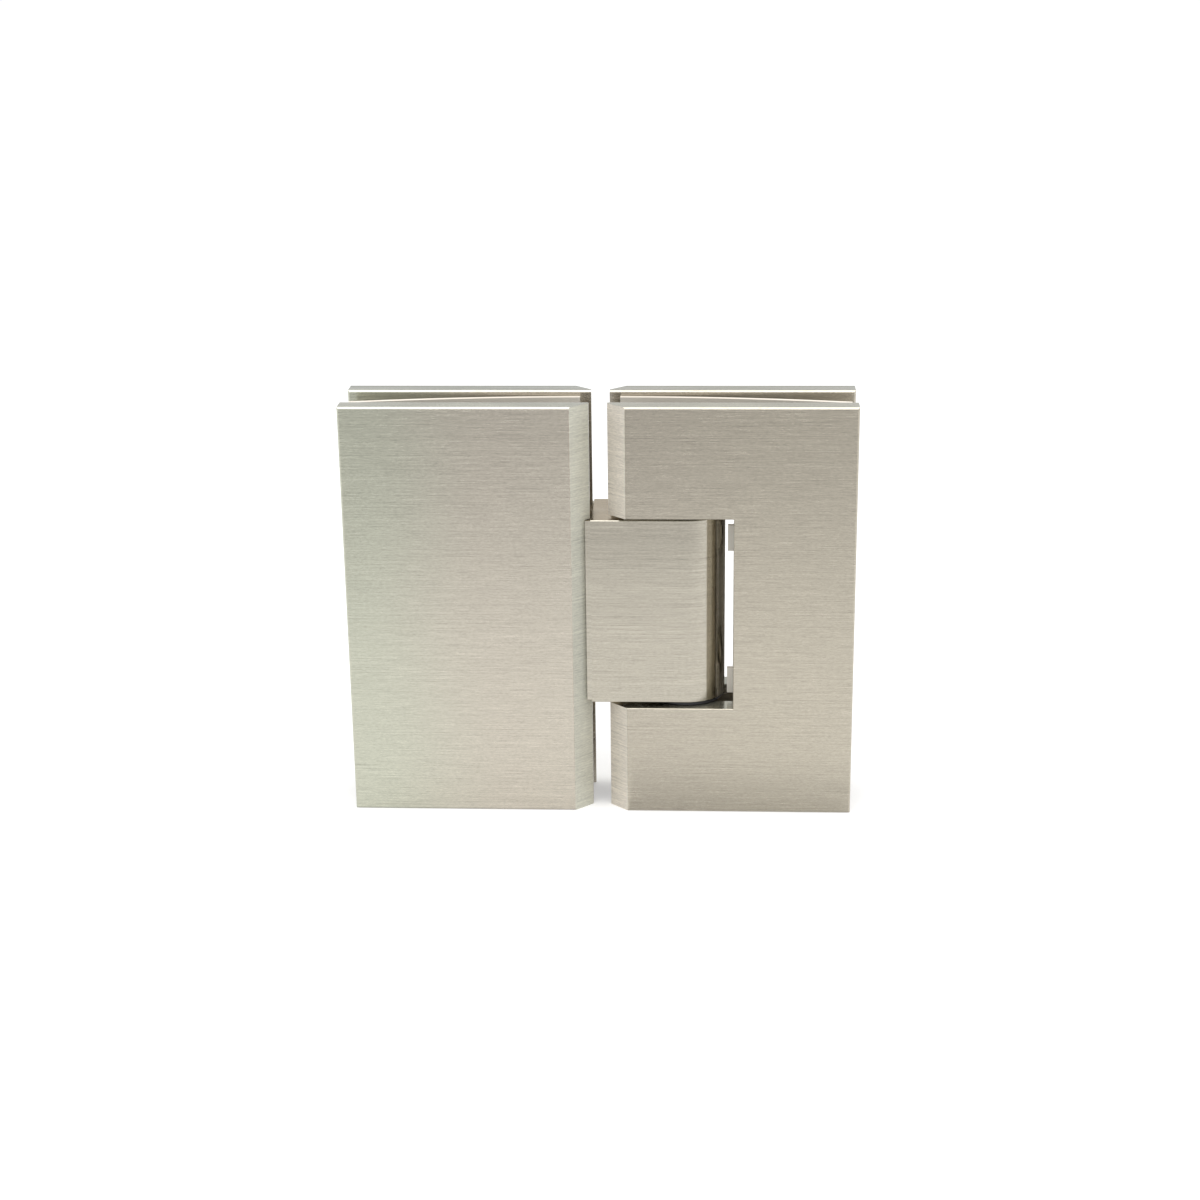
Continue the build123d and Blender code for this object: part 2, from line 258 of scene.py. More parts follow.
@dataclass(frozen=True)
class BrushedNickel:
    """Nickel plate, brushed level: fine streaks run along X on the walls and on the tops."""

    name: str
    # The drift from cool to warm along X is a painted tint that stands for the surroundings'
    # reflection.
    cool: Colour
    warm: Colour
    # The colour of faces that look up or down is painted light and shade.
    top: Colour
    cool_x: float
    warm_x: float
    bevel_x: float = 0.0
    bevel_y: float = 5.75 * MM
    # The bevel's paler colour is a painted reflection of bright surroundings; its extra roughness
    # and matt share are its real ground finish.
    bevel: Colour = (0.0, 0.0, 0.0)
    bevel_roughness: float = 0.34
    bevel_matt: float = 0.4
    level_limit: float = 0.8
    stroke_length: float = 3.6 * MM
    stroke_reach: float = 12.0 * MM
    stroke_width: float = 0.22 * MM
    stroke_spacing: float = 0.7 * MM
    stroke_layers: int = 3
    stroke_share: float = 0.42
    stroke_start: float = 0.4
    stroke_full: float = 0.6
    fleck_length: float = 0.75 * MM
    fleck_share: float = 0.35
    contrast: float = 0.52
    drift: float = 12.0 * MM
    drift_scale: float = 28.0
    roughness: float = 0.26
    roughness_spread: float = 0.1
    anisotropy: float = 0.9
    lay_turn: float = 0.25
    groove: float = 0.001 * MM
    groove_strength: float = 1.0

    def material(self) -> bpy.types.Material:
        """Make the material.

        Each layer of strokes is a set of level lines, noise that is stretched along X, that shows
        only where a second noise lets it. On faces that look up or down, Y stands for the height.
        Short flecks are added. The sum shades the colour, the roughness and the grooves. The tone
        drifts from cool to warm along X, a painted tint that stands for the surroundings'
        reflection, and faces that look up or down have their own colour, painted light and shade. A
        bevel, which lies nearer to the middle than the bevel's X and further out than its Y, is
        ground rougher and more matt, and its paler colour is a painted reflection.

        Returns:
            The material.
        """
        graph = Graph(bpy.data.materials.new(self.name))
        x = graph.place()
        y, z = x.other("Y"), x.other("Z")
        flat = graph.facing_up() > self.level_limit
        level = flat * (y - z) + z
        line = level / self.stroke_width
        streak: Scalar = NOISE_MIDDLE
        for layer in range(self.stroke_layers):
            far = graph.vector(x / self.stroke_reach + layer, y / self.stroke_reach, line)
            row = level / self.stroke_spacing + layer
            near = graph.vector(x / self.stroke_length, y / self.stroke_length, row)
            shown = graph.noise(near).step(self.stroke_start, self.stroke_full)
            streak = (graph.noise(far) - NOISE_MIDDLE) * (shown * self.stroke_share) + streak
        fleck = graph.noise(graph.vector(x / self.fleck_length, y / self.fleck_length, line))
        streak = (fleck - NOISE_MIDDLE) * self.fleck_share + streak
        # Painted tint: the drift from cool to warm stands for the surroundings' reflection.
        drifted = x + graph.noise(graph.vector(x, y, z), self.drift_scale) * self.drift
        tone = drifted.step(self.cool_x + self.drift / 2, self.warm_x + self.drift / 2)
        base = graph.blend(tone, opaque(self.cool), opaque(self.warm))
        # Painted light and shade: faces that look up or down take the top colour.
        base = graph.blend(flat, base, opaque(self.top))
        edge = (1.0 - (abs(x) > self.bevel_x)) * (abs(y) > self.bevel_y) * (1.0 - flat)
        # Painted reflection: the bevel is coloured paler; its roughness and matt share below are its
        # real finish.
        base = graph.blend(edge, base, opaque(self.bevel))
        shade = streak * (2.0 * self.contrast) + (1.0 - self.contrast)
        roughness = streak * self.roughness_spread + (self.roughness - self.roughness_spread / 2)
        return graph.close_material(
            {
                "Base Color": graph.blend(1.0, base, graph.vector(shade, shade, shade), "MULTIPLY"),
                "Metallic": 1.0 - edge * self.bevel_matt,
                "Roughness": roughness + edge * self.bevel_roughness,
                "Anisotropic": self.anisotropy,
                "Anisotropic Rotation": self.lay_turn,
                "Normal": graph.bump(streak, self.groove, self.groove_strength),
            }
        )


@dataclass(frozen=True)
class TurnedSteel:
    """Steel from the lathe or the header: fine, even grain with no lay that shows."""

    name: str
    colour: Colour
    roughness: float = 0.27
    roughness_spread: float = 0.14
    shade: float = 0.8
    grain: float = 0.25 * MM
    grain_share: float = 0.7
    cloud_scale: float = 0.1
    groove: float = 0.003 * MM
    groove_strength: float = 0.6

    def material(self) -> bpy.types.Material:
        """Make the material: noise mottles the colour, the roughness and the surface.

        Returns:
            The material.
        """
        graph = Graph(bpy.data.materials.new(self.name))
        spot = graph.spot()
        mottle = graph.noise(spot, 1.0 / self.grain, detail=3.0, rough=0.6)
        cloud = graph.noise(spot, self.cloud_scale / self.grain)
        share = mottle * self.grain_share + cloud * (1.0 - self.grain_share)
        roughness = mottle * self.roughness_spread + (self.roughness - self.roughness_spread / 2)
        return graph.close_material(
            {
                "Base Color": graph.blend(
                    share, darker(self.colour, self.shade), opaque(self.colour)
                ),
                "Metallic": 1.0,
                "Roughness": roughness,
                "Normal": graph.bump(mottle, self.groove, self.groove_strength),
            }
        )


@dataclass(frozen=True)
class Vinyl:
    """Soft moulded vinyl or nylon: a satin skin with a faint mottle."""

    name: str
    colour: Colour
    roughness: float = 0.42
    roughness_spread: float = 0.12
    shade: float = 0.86
    mottle: float = 1.6 * MM
    mottle_share: float = 0.7
    skin_scale: float = 4.0
    groove: float = 0.01 * MM
    groove_strength: float = 0.5
    # cut: the paler colour of the level edges, a painted highlight where light catches them, not the
    # colour of a cut.
    cut: Optional[Colour] = None
    painted_highlight_start: float = 0.5
    painted_highlight_full: float = 0.9

    def material(self) -> bpy.types.Material:
        """Make the material: two sizes of noise vary the colour, and the finer one the skin.

        The level edges of a sheet, where it faces up or down, are painted paler than its skin: a
        painted highlight.

        Returns:
            The material.
        """
        graph = Graph(bpy.data.materials.new(self.name))
        spot = graph.spot()
        skin = graph.noise(spot, self.skin_scale / self.mottle, detail=2.0)
        cloud = graph.noise(spot, 1.0 / self.mottle, detail=3.0)
        share = cloud * self.mottle_share + skin * (1.0 - self.mottle_share)
        colour = graph.blend(share, darker(self.colour, self.shade), opaque(self.colour))
        if self.cut is not None:
            # Painted highlight: faces that look up or down are coloured paler.
            edge = graph.facing_up().step(self.painted_highlight_start, self.painted_highlight_full)
            colour = graph.blend(edge, colour, opaque(self.cut))
        roughness = skin * self.roughness_spread + (self.roughness - self.roughness_spread / 2)
        return graph.close_material(
            {
                "Base Color": colour,
                "Roughness": roughness,
                "Normal": graph.bump(skin, self.groove, self.groove_strength),
            }
        )


@dataclass(frozen=True)
class PaleFloor:
    """A plain, nearly white floor that glows a little, so that shadows stay faint."""

    name: str = "pale_floor"
    colour: Colour = (0.8, 0.8, 0.8)
    shade: float = 0.99
    cloud_scale: float = 2.0
    roughness: float = 0.9
    glow: float = 0.3

    def material(self) -> bpy.types.Material:
        """Make the material: noise barely shades the colour.

        Returns:
            The material.
        """
        graph = Graph(bpy.data.materials.new(self.name))
        cloud = graph.noise(graph.spot(), self.cloud_scale, detail=2.0)
        return graph.close_material(
            {
                "Base Color": graph.blend(
                    cloud, darker(self.colour, self.shade), opaque(self.colour)
                ),
                "Roughness": self.roughness,
                "Specular IOR Level": 0.0,
                "Emission Color": opaque(WHITE),
                "Emission Strength": self.glow,
            }
        )


def dress(node: str, material: bpy.types.Material) -> None:
    """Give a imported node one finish.

    Args:
        node: the node's name.
        material: its finish.
    """
    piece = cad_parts[node]
    if not piece.material_slots:
        piece.data.materials.append(material)
    for slot in piece.material_slots:
        slot.material = material
    LOG.info("%s is dressed in %s", node, material.name)


def new_piece(
    name: str, points: np.ndarray, faces: Sequence[Sequence[int]], sharp_deg: float = 30.0
) -> bpy.types.Object:
    """Make a smooth-shaded piece at the origin.

    Args:
        name: the piece's name.
        points: its vertices in the shared frame, in metres.
        faces: its faces, which point outwards.
        sharp_deg: the angle over which an edge stays sharp.

    Returns:
        The new object, in the scene.
    """
    mesh = bpy.data.meshes.new(name)
    mesh.from_pydata(points.tolist(), [], faces)
    mesh.polygons.foreach_set("use_smooth", np.ones(len(mesh.polygons), bool))
    mesh.set_sharp_from_angle(angle=math.radians(sharp_deg))
    mesh.validate()
    mesh.update()
    piece = bpy.data.objects.new(name, mesh)
    bpy.context.scene.collection.objects.link(piece)
    return piece


def fit_piece(
    piece: bpy.types.Object, node: str, body: Body, material: bpy.types.Material
) -> None:
    """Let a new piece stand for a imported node.

    Args:
        piece: the new piece.
        node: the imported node's name.
        body: the body that carries it.
        material: its finish.
    """
    piece.data.materials.append(material)
    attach(piece, body.value)
    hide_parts(node)
    LOG.info("%s stands for %s with %d faces", piece.name, node, len(piece.data.polygons))


def grid_quads(number: np.ndarray) -> np.ndarray:
    """Give the four corners of each cell of a grid of vertex numbers."""
    corners = (number[:-1, :-1], number[1:, :-1], number[1:, 1:], number[:-1, 1:])
    return np.stack(corners, axis=-1)


def tube_faces(rings: int, spokes: int, offset: int = 0) -> List[List[int]]:
    """Give the quads between rings of vertices, then a cap on the first and on the last ring.

    Ring i holds the vertices i * spokes to (i + 1) * spokes - 1, anticlockwise as seen from the end
    that the rings run towards.

    Args:
        rings: the number of rings.
        spokes: the vertices in each ring.
        offset: the number of the first vertex.

    Returns:
        The faces, which point outwards.
    """
    number = np.arange(rings * spokes).reshape(rings, spokes) + offset
    after = np.roll(number, -1, axis=1)
    quads = np.stack((number[:-1], after[:-1], after[1:], number[1:]), axis=-1).reshape(-1, 4)
    return [*quads.tolist(), number[0, ::-1].tolist(), number[-1].tolist()]


@dataclass
class Gasket:
    """A loose vinyl sheet between a plate and the glass, bowed, with holes for the bosses."""

    name: str
    side: Side
    face: Face
    body: Body
    cut_depth: float
    cut_height: float
    tab_rise: float = 0.0
    tab_height: float = 0.0
    tab_reach: float = 0.0
    thickness: float = 1.2 * MM
    pitch: float = 0.6 * MM
    boss_x: float = 36.95 * MM
    boss_rise: float = 14.0 * MM
    boss_hole: float = 5.8 * MM
    hole_snap: float = 0.75
    drop: float = 0.55 * MM
    ripple: float = 0.12 * MM
    ripple_rate: float = 70.0
    flare: float = 0.8 * MM
    flare_height: float = 45.0 * MM
    soft_edge: float = 0.2 * MM
    soft_segments: int = 2
    sharp_deg: float = 40.0

    def lines(self, low: float, high: float, breaks: Sequence[float]) -> np.ndarray:
        """Space grid lines evenly between two ends, with a line moved onto each break.

        Args:
            low: the first end.
            high: the last end.
            breaks: the places that need a line.

        Returns:
            The lines' places.
        """
        spaced = np.linspace(low, high, int(round((high - low) / self.pitch)) + 1)
        for stop in breaks:
            spaced[np.abs(spaced - stop).argmin()] = stop
        return spaced

    def sheet(self, low: Vector, high: Vector) -> Tuple[np.ndarray, np.ndarray]:
        """Work out one side of the sheet.

        X and Z are spaced evenly. Y leaves the plate with the square of the distance from the
        seated end, as a bent strip does, and further towards the free upper edge, where the sheet
        flares. A slow ripple is added. Grid points near a boss are moved onto the hole's circle.

        Args:
            low: the lowest corner of the solid that the sheet stands for.
            high: its highest corner.

        Returns:
            The grid of points, and a mask of the cells that are kept.
        """
        side, face = self.side.value, self.face.value
        middle = (low.z + high.z) / 2
        x_breaks = [side * self.cut_depth]
        z_breaks = [middle + way * self.cut_height / 2 for way in BOTH_WAYS]
        if self.tab_reach:
            x_breaks.append(side * (self.cut_depth - self.tab_reach))
            for end in BOTH_WAYS:
                tab = [end * self.tab_rise + way * self.tab_height / 2 for way in BOTH_WAYS]
                z_breaks += [middle + stop for stop in tab]
        x_lines = self.lines(low.x, high.x, x_breaks)
        z_lines = self.lines(low.z, high.z, z_breaks)
        x, z = np.meshgrid(x_lines, z_lines, indexing="ij")
        cell_x = (x[1:, 1:] + x[:-1, :-1]) / 2
        cell_z = (z[1:, 1:] + z[:-1, :-1]) / 2
        rise = np.abs(cell_z - middle)
        kept = (side * cell_x >= self.cut_depth) | (rise >= self.cut_height / 2)
        if self.tab_reach:
            at_tab = np.abs(rise - self.tab_rise) < self.tab_height / 2
            kept |= (side * cell_x > self.cut_depth - self.tab_reach) & at_tab
        for end in BOTH_WAYS:
            hole_x, hole_z = side * self.boss_x, middle + self.drop + end * self.boss_rise
            kept &= np.hypot(cell_x - hole_x, cell_z - hole_z) > self.boss_hole
            reach = np.hypot(x - hole_x, z - hole_z)
            near = np.abs(reach - self.boss_hole) < self.pitch * self.hole_snap
            scale = np.where(near, self.boss_hole / np.maximum(reach, MM), 1.0)
            x = hole_x + (x - hole_x) * scale
            z = hole_z + (z - hole_z) * scale
        ends = (high.x, low.x) if face * side < 0 else (low.x, high.x)
        away = (x - ends[0]) / (ends[1] - ends[0])
        lean = high.y - low.y - self.thickness
        wave = np.sin(z * self.ripple_rate + face) * np.sin(away * math.pi) * self.ripple
        seated = low.y if face < 0 else high.y
        flare = np.clip((z - high.z) / self.flare_height + 1.0, 0.0, 1.0) ** 2 * self.flare
        y = seated - face * ((lean + flare) * away**2 + np.abs(wave))
        return np.stack((x, y, z), axis=-1), kept

    def build(self, material: bpy.types.Material) -> None:
        """Make the sheet: both sides, and a rim wherever a kept cell meets none.

        Args:
            material: the sheet's finish.
        """
        low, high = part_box(self.name)
        grid, kept = self.sheet(low, high)
        count = grid[..., 0].size
        front = grid_quads(np.arange(count).reshape(grid.shape[:2]))[kept]
        edges = np.concatenate([front[:, [i, (i + 1) % 4]] for i in range(4)])
        code = edges.min(axis=1) * count + edges.max(axis=1)
        _, place, uses = np.unique(code, return_inverse=True, return_counts=True)
        start, stop = edges[uses[place] == 1].T
        rim = np.stack((stop, start, start + count, stop + count), axis=-1)
        faces = np.concatenate((front, front[:, ::-1] + count, rim))
        inner = grid.reshape(-1, 3)
        outer = inner - np.array((0.0, self.face.value * self.thickness, 0.0))
        points = np.concatenate((inner, outer) if self.face is Face.FRONT else (outer, inner))
        used, faces = np.unique(faces, return_inverse=True)
        faces = faces.reshape(-1, 4).tolist()
        piece = new_piece(self.name + "_sheet", points[used], faces, self.sharp_deg)
        bevel = piece.modifiers.new("soft_edge", "BEVEL")
        bevel.width = self.soft_edge
        bevel.segments = self.soft_segments
        bevel.limit_method = "ANGLE"
        bevel.angle_limit = math.radians(self.sharp_deg)
        fit_piece(piece, self.name, self.body, material)


@dataclass
class CoilSpring:
    """A compression spring of round wire with closed ends, along X."""

    name: str
    turns: float = 5.0
    wire: float = 1.0 * MM
    steps_per_turn: int = 40
    spokes: int = 14
    closed_share: float = 0.14
    closed_pitch: float = 0.15
    sharp_deg: float = 50.0

    def build(self, material: bpy.types.Material) -> None:
        """Make the spring: a circle carried along a helix whose pitch shrinks towards its ends.

        Args:
            material: the wire's finish.
        """
        low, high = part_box(self.name)
        middle = (low + high) / 2
        coil = (high.z - low.z - self.wire) / 2
        steps = int(self.turns * self.steps_per_turn)
        along = np.linspace(0.0, 1.0, steps + 1)
        ends = np.minimum(np.minimum(along, 1.0 - along) / self.closed_share, 1.0)
        climb = np.cumsum(self.closed_pitch + ends**2)
        climb = (climb - climb[0]) / (climb[-1] - climb[0])
        angle = along * self.turns * FULL_TURN
        x = low.x + self.wire / 2 + climb * (high.x - low.x - self.wire)
        radial = np.stack((np.zeros_like(angle), np.cos(angle), np.sin(angle)), axis=-1)
        centre = np.stack((x, np.full_like(x, middle.y), np.full_like(x, middle.z)), axis=-1)
        path = radial * coil + centre
        tangent = np.gradient(path, axis=0)
        tangent /= np.linalg.norm(tangent, axis=1, keepdims=True)
        sideways = np.cross(tangent, radial)
        turn = np.linspace(0.0, FULL_TURN, self.spokes, endpoint=False)[None, :, None]
        ring = radial[:, None] * np.cos(turn) + sideways[:, None] * np.sin(turn)
        points = (path[:, None] + ring * (self.wire / 2)).reshape(-1, 3)
        faces = tube_faces(steps + 1, self.spokes)
        piece = new_piece(self.name + "_coil", points, faces, self.sharp_deg)
        fit_piece(piece, self.name, Body.FIXED_LEAF, material)


@dataclass
class SocketScrews:
    """Two equal screws or plugs with a hexagon socket and a rolled thread, as one group.

    The rim rounds the head: shares of the soft edge, below the head's face and inside its outline.
    """

    name: str
    body: Body
    slot: str = "screws"
    axis: Axis = Axis.AGAINST_Y
    diameter: float = 5.0 * MM
    head_diameter: float = 9.4 * MM
    key: float = 3.0 * MM
    key_depth: float = 2.2 * MM
    pitch: float = 0.8 * MM
    plain: float = 0.2 * MM
    point: float = 0.5 * MM
    soft: float = 0.12 * MM
    rim: Tuple[Span, ...] = ((1.0, 0.3), (0.3, 0.45), (0.0, 1.3))
    socket_rim: float = 1.22
    floor_share: float = 0.97
    drill_depth: float = 0.35
    tip_share: float = 0.05
    thread_depth: float = 0.55
    tooth_gain: float = 1.3
    tooth_land: float = 0.15
    spokes: int = 72
    rings_per_pitch: int = 8
    sharp_deg: float = 35.0

    def outline(self, length: float) -> Tuple[np.ndarray, np.ndarray, np.ndarray, np.ndarray]:
        """Work out the section from the point round to the socket's floor.

        Each ring has a distance from the head's face, a radius, a depth of thread and a share of
        hexagon. The thread fades at the point and under the head.

        Args:
            length: the length over all.

        Returns:
            Distances, radii, thread depths and hexagon shares, ring by ring.
        """
        radius, head, socket = self.diameter / 2, self.head_diameter / 2, self.key / 2
        cone = head - radius
        start, stop = length - self.point, max(cone, 0.0) + self.plain
        count = int((start - stop) / self.pitch * self.rings_per_pitch)
        thread = np.linspace(start, stop, count + 1)
        fade = np.minimum(np.minimum(start - thread, thread - stop) / self.pitch, 1.0)
        point_radius = radius - self.point
        tip = [(length, point_radius * self.tip_share, 0.0), (length, point_radius, 0.0)]
        neck = [(cone, radius, 0.0)] if cone > self.soft else []
        rim = [(self.soft * below, head - self.soft * inside, 0.0) for below, inside in self.rim]
        hole = [
            (0.0, socket * self.socket_rim, 0.0),
            (0.0, socket + self.soft, 1.0),
            (self.soft, socket, 1.0),
            (self.key_depth, socket, 1.0),
            (self.key_depth, socket * self.floor_share, 0.0),
            (self.key_depth + socket * self.drill_depth, socket * self.tip_share, 0.0),
        ]
        first, last = np.array(tip), np.array(neck + rim + hole)
        away = np.concatenate((first[:, 0], thread, last[:, 0]))
        radii = np.concatenate((first[:, 1], np.full_like(thread, radius), last[:, 1]))
        cut = fade * (self.thread_depth * self.pitch)
        depths = np.concatenate((np.zeros(len(first)), cut, np.zeros(len(last))))
        hexagon = np.concatenate((first[:, 2], np.zeros_like(thread), last[:, 2]))
        return away, radii, depths, hexagon

    def build(self, material: bpy.types.Material) -> None:
        """Make both screws, each a surface of an angle and a place along the section.

        The radius is the section's. A triangle wave of the angle and the distance, one tooth to a
        pitch, cuts the thread into it. In the socket it is divided by the cosine of the angle from
        the nearest flat, which makes a hexagon.

        Args:
            material: the screws' finish.
        """
        low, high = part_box(self.name)
        centre_x, centre_y = (low.x + high.x) / 2, (low.y + high.y) / 2
        across = max(self.diameter, self.head_diameter)
        length = high.x - low.x if self.axis is Axis.ALONG_X else high.y - low.y
        away, radii, depths, hexagon = self.outline(length)
        angle = np.linspace(0.0, FULL_TURN, self.spokes, endpoint=False)
        phase = away[:, None] / self.pitch + angle[None, :] / FULL_TURN
        tooth = np.abs((phase % 1.0) - 0.5) * 2.0
        sixth = math.pi / 3.0
        flat = np.cos((angle + sixth / 2) % sixth - sixth / 2)
        groove = np.clip(tooth * self.tooth_gain - self.tooth_land, 0.0, 1.0)
        radius = radii[:, None] - depths[:, None] * groove
        radius = radius * (1.0 + hexagon[:, None] * (1.0 / flat[None, :] - 1.0))
        right, up = radius * np.cos(angle), radius * np.sin(angle)
        depth = np.broadcast_to(away[:, None], radius.shape)
        faces, points = [], []
        for centre_z in (low.z + across / 2, high.z - across / 2):
            if self.axis is Axis.ALONG_X:
                spot = np.stack((low.x + depth, right + centre_y, up + centre_z), axis=-1)
            else:
                spot = np.stack((centre_x + right, high.y - depth, up + centre_z), axis=-1)
            offset = len(points) * radius.size
            faces += [face[::-1] for face in tube_faces(*radius.shape, offset)]
            points.append(spot.reshape(-1, 3))
        piece = new_piece(self.name + "_turned", np.concatenate(points), faces, self.sharp_deg)
        fit_piece(piece, self.name, self.body, material)


@dataclass
class Leaf:
    """A leaf of the hinge: two plates, two gaskets and the screws that draw them onto the glass."""

    side: Side
    body: Body
    nickel: BrushedNickel
    # The rear plates' top colour is painted shade.
    rear_top_painted_shade: Colour
    cut_depth: float
    cut_height: float
    tab_rise: float = 0.0
    tab_height: float = 0.0
    tab_reach: float = 0.0
    rear_flare: float = 3.4 * MM

    def build(self, vinyl: bpy.types.Material, steel: bpy.types.Material) -> None:
        """Dress the plates and make the gaskets and the clamp screws.

        Args:
            vinyl: the gaskets' finish.
            steel: the screws' finish.
        """
        leaf = self.side.name.lower()
        tabs = {
            "tab_rise": self.tab_rise,
            "tab_height": self.tab_height,
            "tab_reach": self.tab_reach,
        }
        for face in Face:
            plate = f"{leaf}_{face.name.lower()}"
            if face is Face.FRONT:
                metal, form = self.nickel, tabs
            else:
                # The rear plate's tops take a darker colour: painted shade.
                metal = replace(self.nickel, name=plate + "_nickel", top=self.rear_top_painted_shade)
                form = {"flare": self.rear_flare}
            dress(plate + "_plate", metal.material())
            Gasket(
                plate + "_gasket",
                self.side,
                face,
                self.body,
                self.cut_depth,
                self.cut_height,
                **form,
            ).build(vinyl)
        SocketScrews(
            leaf + "_clamp_screws",
            self.body,
            diameter=6.0 * MM,
            head_diameter=11.4 * MM,
            key=4.0 * MM,
            pitch=1.0 * MM,
            plain=4.0 * MM,
        ).build(steel)


@dataclass
class Knuckle:
    """The knuckle with what it holds: bushes, plungers, springs, plugs and its two screws."""

    nickel: BrushedNickel

    def build(
        self, nylon: bpy.types.Material, steel: bpy.types.Material, wire: bpy.types.Material
    ) -> None:
        """Dress the block and make its turned and coiled pieces.

        Args:
            nylon: the bushes' finish.
            steel: the finish of the plungers, the plugs and the screws.
            wire: the springs' finish.
        """
        dress("knuckle", self.nickel.material())
        for end in ("upper", "lower"):
            dress(end + "_bush", nylon)
            dress(end + "_plunger", steel)
            CoilSpring(end + "_spring").build(wire)
        SocketScrews(
            "spring_plugs",
            Body.FIXED_LEAF,
            slot="springs",
            axis=Axis.ALONG_X,
            diameter=8.0 * MM,
            head_diameter=8.0 * MM,
            key=4.0 * MM,
            key_depth=3.0 * MM,
            pitch=1.0 * MM,
        ).build(steel)
        SocketScrews("knuckle_screws", Body.FIXED_LEAF).build(steel)


@dataclass
class Pivot:
    """The pin that the door leaf holds, with its screws and its washers."""

    screw_plain: float = 9.0 * MM

    def build(
        self, acetal: bpy.types.Material, steel: bpy.types.Material, pin: bpy.types.Material
    ) -> None:
        """Dress the pin and the washers and make the pin's screws.

        Args:
            acetal: the washers' finish.
            steel: the screws' finish.
            pin: the pin's finish.
        """
        dress("pivot_pin", pin)
        for end in ("upper", "lower"):
            dress(end + "_thrust_washer", acetal)
        SocketScrews("pin_screws", Body.DOOR_LEAF, plain=self.screw_plain).build(steel)


@dataclass(frozen=True)
class SoftLight:
    """A rectangular studio lamp that looks at a target."""

    name: str
    place: Point
    target: Point
    size: Span
    energy: float

    def build(self) -> None:
        """Hang the lamp."""
        lamp = bpy.data.lights.new(self.name, "AREA")
        lamp.shape = "RECTANGLE"
        lamp.size, lamp.size_y = self.size
        lamp.energy = self.energy
        holder = bpy.data.objects.new(self.name, lamp)
        aim = Vector(self.target) - Vector(self.place)
        turn = aim.to_track_quat("-Z", "Y").to_matrix().to_4x4()
        holder.matrix_world = Matrix.Translation(self.place) @ turn
        bpy.context.scene.collection.objects.link(holder)


@dataclass(frozen=True)
class Card:
    """A grey card on the floor in front, which only the metal's reflections show."""

    name: str
    across: Span
    ahead: Span
    grey: Colour
    lift: float = 0.3 * MM
    roughness: float = 0.9

    def build(self) -> None:
        """Lay the card as one flat face."""
        (left, right), (near, far) = self.across, self.ahead
        corners = ((left, far), (right, far), (right, near), (left, near))
        points = np.array([(x, y, self.lift) for x, y in corners])
        card = new_piece(self.name, points, [[0, 1, 2, 3]])
        finish = Vinyl(self.name + "_grey", self.grey, self.roughness)
        card.data.materials.append(finish.material())
        card.visible_camera = False
        card.visible_diffuse = False
        card.visible_transmission = False
        card.visible_shadow = False


@dataclass
class Studio:
    """The floor, the cards, the light and the camera."""

    floor_half: float = 8.0
    floor_lines: int = 5
    cards: Tuple[Card, ...] = (
        Card("far_card", across=(-1.2, 1.2), ahead=(-0.2, -2.2), grey=(0.46, 0.46, 0.46)),
        Card(
            "near_card",
            across=(6.0 * MM, 150.0 * MM),
            ahead=(-10.0 * MM, -28.0 * MM),
            grey=(0.84, 0.84, 0.84),
        ),
    )
    lamp: SoftLight = SoftLight(
        "overhead",
        place=(0.0, -0.1, 0.62),
        target=(0.0, 0.0, 0.05),
        size=(0.6, 0.45),
        energy=2.0,
    )
    room: float = 0.9
    camera_place: Point = (25.062 * MM, -454.879 * MM, 199.497 * MM)
    yaw_deg: float = -3.197
    pitch_deg: float = 18.73
    roll_deg: float = 0.722
    lens: float = 66.99
    sensor: float = 36.0
    clip_start: float = 10.0 * MM

    def floor(self) -> None:
        """Lay the floor: a plain square grid at the hinge's bottom edges."""
        steps = np.linspace(-self.floor_half, self.floor_half, self.floor_lines)
        x, y = np.meshgrid(steps, steps, indexing="ij")
        points = np.stack((x, y, np.zeros_like(x)), axis=-1).reshape(-1, 3)
        faces = grid_quads(np.arange(x.size).reshape(x.shape)).reshape(-1, 4)
        floor = new_piece("floor", points, faces.tolist())
        floor.data.materials.append(PaleFloor().material())

    def light(self) -> None:
        """Hang a soft lamp overhead, in an even, pale room that the camera sees as white."""
        self.lamp.build()
        white = opaque(WHITE)
        world = bpy.data.worlds.new("studio")
        graph = Graph(world)
        room = graph.node("ShaderNodeBackground", sockets={"Color": white, "Strength": self.room})
        plain = graph.node("ShaderNodeBackground", sockets={"Color": white, "Strength": 1.0})
        seen = graph.node("ShaderNodeLightPath", output="Is Camera Ray")
        surface = graph.node("ShaderNodeMixShader", sockets={0: seen, 1: room, 2: plain})
        graph.node("ShaderNodeOutputWorld", sockets={"Surface": surface})
        bpy.context.scene.world = world
        bpy.context.scene.view_settings.view_transform = "Standard"

    def camera(self) -> None:
        """Set the camera up by its place, its turn, its tilt and its roll."""
        angles = (self.yaw_deg, self.pitch_deg, self.roll_deg)
        yaw, pitch, roll = (math.radians(angle) for angle in angles)
        reach = math.cos(pitch)
        ahead = Vector((math.sin(yaw) * reach, math.cos(yaw) * reach, -math.sin(pitch)))
        level = Vector((math.cos(yaw), -math.sin(yaw), 0.0))
        below = ahead.cross(level)
        right = level * math.cos(roll) + below * math.sin(roll)
        down = below * math.cos(roll) - level * math.sin(roll)
        turn = Matrix((right, -down, -ahead)).transposed().to_4x4()
        lens = bpy.data.cameras.new("camera")
        lens.lens = self.lens
        lens.sensor_width = self.sensor
        lens.clip_start = self.clip_start
        holder = bpy.data.objects.new("camera", lens)
        holder.matrix_world = Matrix.Translation(self.camera_place) @ turn
        bpy.context.scene.collection.objects.link(holder)
        bpy.context.scene.camera = holder

    def build(self) -> None:
        """Set the whole studio up."""
        self.floor()
        for card in self.cards:
            card.build()
        self.light()
        self.camera()


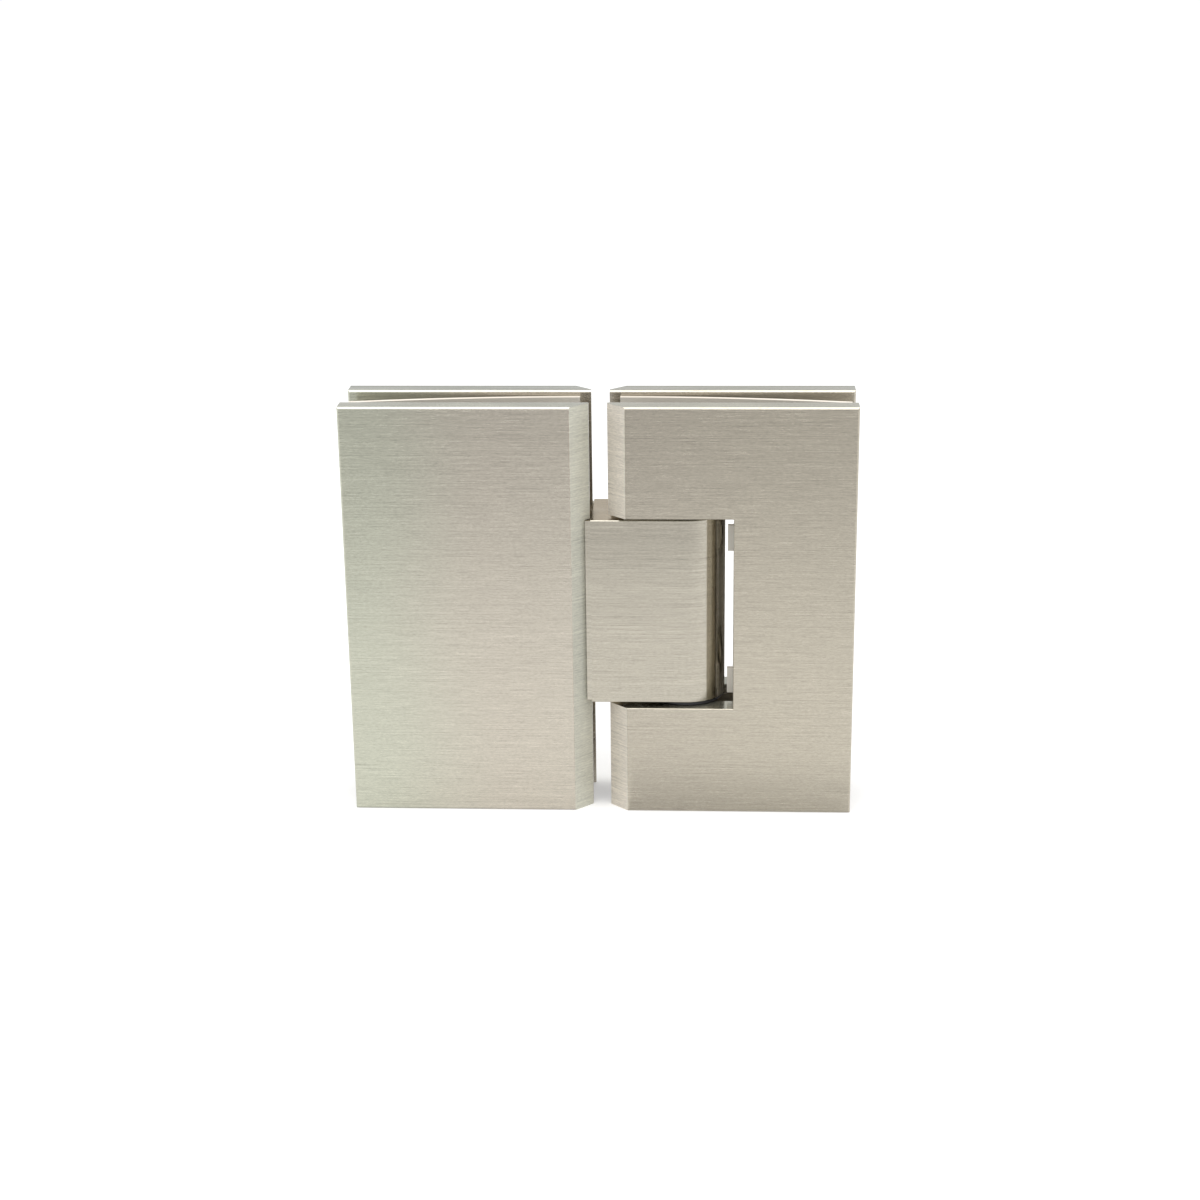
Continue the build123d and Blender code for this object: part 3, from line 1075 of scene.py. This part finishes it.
def main() -> None:
    """Dress the hinge, piece by piece, and set the studio up."""
    logging.basicConfig(level=logging.INFO, format="%(name)s: %(message)s")
    steel = TurnedSteel("screw_steel", (0.56, 0.54, 0.51)).material()
    pin_steel = TurnedSteel("pin_steel", (0.62, 0.61, 0.59), roughness=0.2).material()
    wire = TurnedSteel("spring_wire", (0.42, 0.41, 0.4), roughness=0.3).material()
    # The gaskets' paler edge colour is a painted highlight.
    vinyl = Vinyl("gasket_vinyl", (0.67, 0.635, 0.565), cut=(0.86, 0.79, 0.69)).material()
    nylon = Vinyl("bearing_nylon", (0.83, 0.82, 0.78), roughness=0.35).material()
    acetal = Vinyl("washer_acetal", (0.035, 0.034, 0.04), roughness=0.4).material()
    # The drift from cool to warm is a painted tint of reflection, the top colour painted shade and
    # the bevel colour a painted reflection.
    left_nickel = BrushedNickel(
        "left_front_nickel",
        cool=(0.508, 0.513, 0.423),
        warm=(0.53, 0.489, 0.417),
        top=(0.475, 0.475, 0.408),
        cool_x=-54.0 * MM,
        warm_x=-20.0 * MM,
        bevel_x=5.7 * MM,
        bevel=(0.7, 0.695, 0.605),
    )
    # The drift from cool to warm is a painted tint of reflection, the top colour painted light and
    # the bevel colour a painted reflection.
    right_nickel = BrushedNickel(
        "right_front_nickel",
        cool=(0.464, 0.426, 0.357),
        warm=(0.488, 0.449, 0.372),
        top=(0.49, 0.478, 0.405),
        cool_x=0.0,
        warm_x=40.0 * MM,
        bevel_x=5.7 * MM,
        bevel=(0.82, 0.765, 0.68),
    )
    knuckle_nickel = BrushedNickel(
        "knuckle_nickel",
        cool=(0.466, 0.434, 0.366),
        warm=(0.466, 0.434, 0.366),
        # The top colour is painted shade, a brown reflection of the shaded inner edges nearby.
        top=(0.41, 0.34, 0.235),
        cool_x=0.0,
        warm_x=20.0 * MM,
        roughness=0.2,
        roughness_spread=0.05,
    )
    Leaf(
        Side.LEFT,
        Body.FIXED_LEAF,
        left_nickel,
        # The rear tops' colour is painted shade.
        rear_top_painted_shade=(0.395, 0.404, 0.355),
        cut_depth=19.7 * MM,
        cut_height=38.7 * MM,
    ).build(vinyl, steel)
    Leaf(
        Side.RIGHT,
        Body.DOOR_LEAF,
        right_nickel,
        # The rear tops' colour is painted shade.
        rear_top_painted_shade=(0.407, 0.406, 0.352),
        cut_depth=29.55 * MM,
        cut_height=64.7 * MM,
        tab_rise=16.0 * MM,
        tab_height=5.6 * MM,
        tab_reach=2.5 * MM,
    ).build(vinyl, steel)
    Knuckle(knuckle_nickel).build(nylon, steel, wire)
    Pivot().build(acetal, steel, pin_steel)
    Studio().build()


if __name__ == "__main__":
    main()
